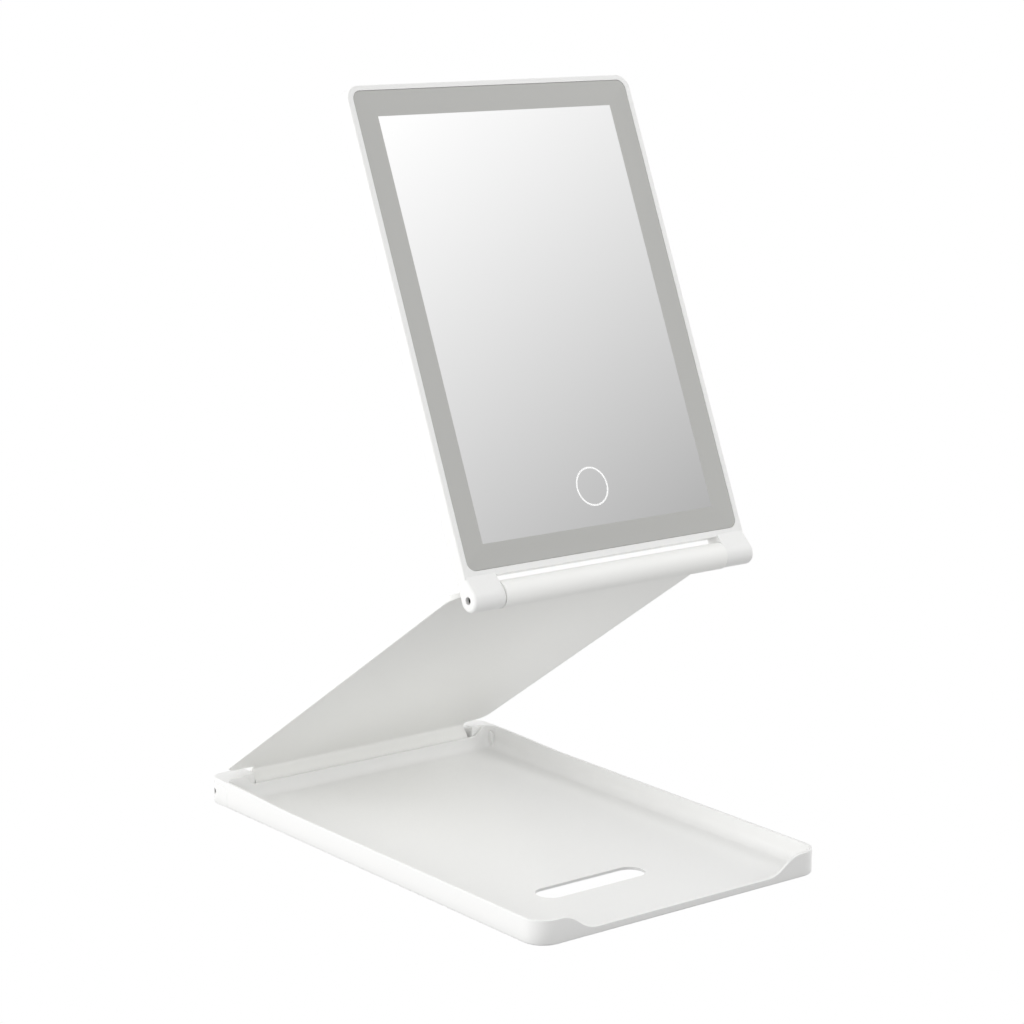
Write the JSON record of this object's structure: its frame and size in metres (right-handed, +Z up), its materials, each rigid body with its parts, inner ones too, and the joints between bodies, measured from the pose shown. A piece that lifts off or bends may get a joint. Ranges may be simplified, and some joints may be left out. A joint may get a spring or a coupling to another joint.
{
  "type": "trifold vanity mirror",
  "caption": "Folding vanity mirror: shallow tray base, flat arm on a rear hinge and a lit rectangular mirror panel on a second hinge at the arm's tip.",
  "frame": {"origin": "middle of the tray's footprint, on the table", "axes": "+X to the user's right, -Y towards the user, +Z up"},
  "size_m": [0.192, 0.2944, 0.4067],
  "materials": {
    "shell": "satin moulded white",
    "feet": "soft translucent grey",
    "steel": "turned",
    "spring_steel": "rolled",
    "core": "mill",
    "mirror": "silvered glass with a frosted border",
    "tape": "foam tape",
    "light_guide": "clear with printed dots",
    "reflector": "white film",
    "led": "white strip with lamps",
    "battery": "foil pouch",
    "board": "green circuit board",
    "sensor": "copper film",
    "leads": "insulated wire"
  },
  "bodies": {
    "base": {"base_tray": "shell", "base_feet": "feet", "hinge_block_left": "shell", "hinge_block_right": "shell", "hinge_block_screws": "steel", "lower_pin_left": "steel", "lower_pin_right": "steel"},
    "arm": {"arm_frame": "shell", "arm_core": "core", "arm_cover": "shell", "lower_sleeve_left": "spring_steel", "lower_sleeve_right": "spring_steel", "upper_sleeve_left": "spring_steel", "upper_sleeve_right": "spring_steel"},
    "mirror": {"mirror_frame": "shell", "mirror_back": "shell", "back_screws": "steel", "mirror_glass": "mirror", "glass_tape": "tape", "light_guide": "light_guide", "reflector_sheet": "reflector", "led_strip_left": "led", "led_strip_right": "led", "battery_tape": "tape", "battery": "battery", "control_board": "board", "usb_socket": "steel", "light_pipe": "light_guide", "touch_sensor": "sensor", "battery_leads": "leads", "light_leads_left": "leads", "light_leads_right": "leads", "upper_pin_left": "steel", "upper_pin_right": "steel"}
  },
  "joints": [
    {"name": "arm_hinge", "type": "hinge", "parent": "base", "child": "arm", "pos_m": [0, 0.14075, 0.00675], "axis": [-1, 0, 0], "range_deg": [-32.5, 64]},
    {"name": "mirror_tilt", "type": "hinge", "parent": "arm", "child": "mirror", "pos_m": [0, -0.08522, 0.16206], "axis": [1, 0, 0], "range_deg": [-25, 45]}
  ]
}
